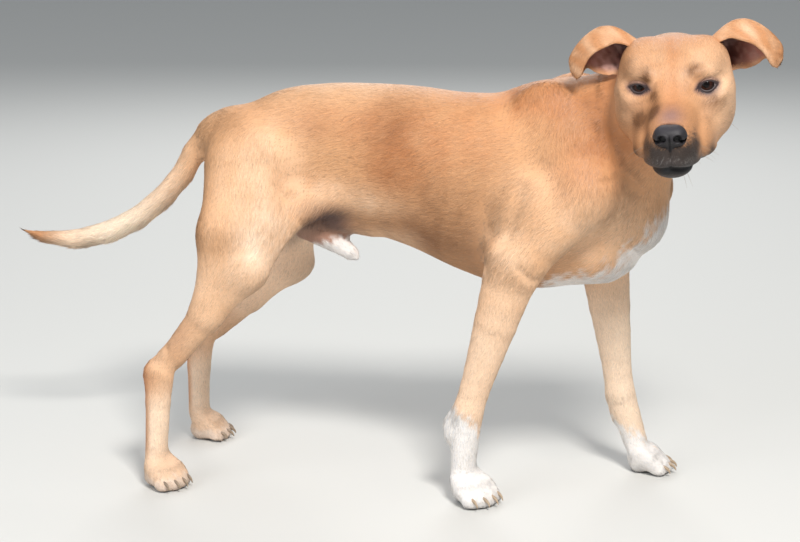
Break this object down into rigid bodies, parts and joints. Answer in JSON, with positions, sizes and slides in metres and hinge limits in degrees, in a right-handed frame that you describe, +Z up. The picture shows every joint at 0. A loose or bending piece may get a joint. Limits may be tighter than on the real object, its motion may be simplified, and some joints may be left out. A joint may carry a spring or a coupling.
{
  "type": "dog",
  "caption": "Life-size standing dog, a still museum-type model: lean short-coated fawn dog with white forefeet, head turned to its right, half-pricked ears and a curved tail.",
  "frame": {"origin": "on the floor, under the centre of the bounding box", "axes": "+X the way the body faces, +Y to the dog's left, +Z up; the paws stand on z = 0"},
  "size_m": [0.9848, 0.3196, 0.5989],
  "materials": {
    "fawn_coat": "short flat golden fawn fur over skin",
    "white_coat": "short white fur over skin",
    "nose_leather": "moist black pebbled leather",
    "eyes": "clear wet cornea over a dark brown iris",
    "claws": "smooth horn"
  },
  "bodies": {
    "root": {"head": "fawn_coat", "lower_jaw": "fawn_coat", "nose": "nose_leather", "eye_right": "eyes", "eye_left": "eyes", "ear_right": "fawn_coat", "ear_left": "fawn_coat", "neck": "fawn_coat", "trunk": "fawn_coat", "sheath": "white_coat", "upper_arm_right": "fawn_coat", "forearm_right": "fawn_coat", "forepaw_right": "white_coat", "thigh_right": "fawn_coat", "shank_right": "fawn_coat", "hindpaw_right": "fawn_coat", "fore_claw_right_1": "claws", "fore_claw_right_2": "claws", "fore_claw_right_3": "claws", "fore_claw_right_4": "claws", "hind_claw_right_1": "claws", "hind_claw_right_2": "claws", "hind_claw_right_3": "claws", "hind_claw_right_4": "claws", "upper_arm_left": "fawn_coat", "forearm_left": "fawn_coat", "forepaw_left": "white_coat", "thigh_left": "fawn_coat", "shank_left": "fawn_coat", "hindpaw_left": "fawn_coat", "fore_claw_left_1": "claws", "fore_claw_left_2": "claws", "fore_claw_left_3": "claws", "fore_claw_left_4": "claws", "hind_claw_left_1": "claws", "hind_claw_left_2": "claws", "hind_claw_left_3": "claws", "hind_claw_left_4": "claws", "tail_root": "fawn_coat", "tail_middle": "fawn_coat", "tail_tip": "fawn_coat"}
  },
  "joints": []
}
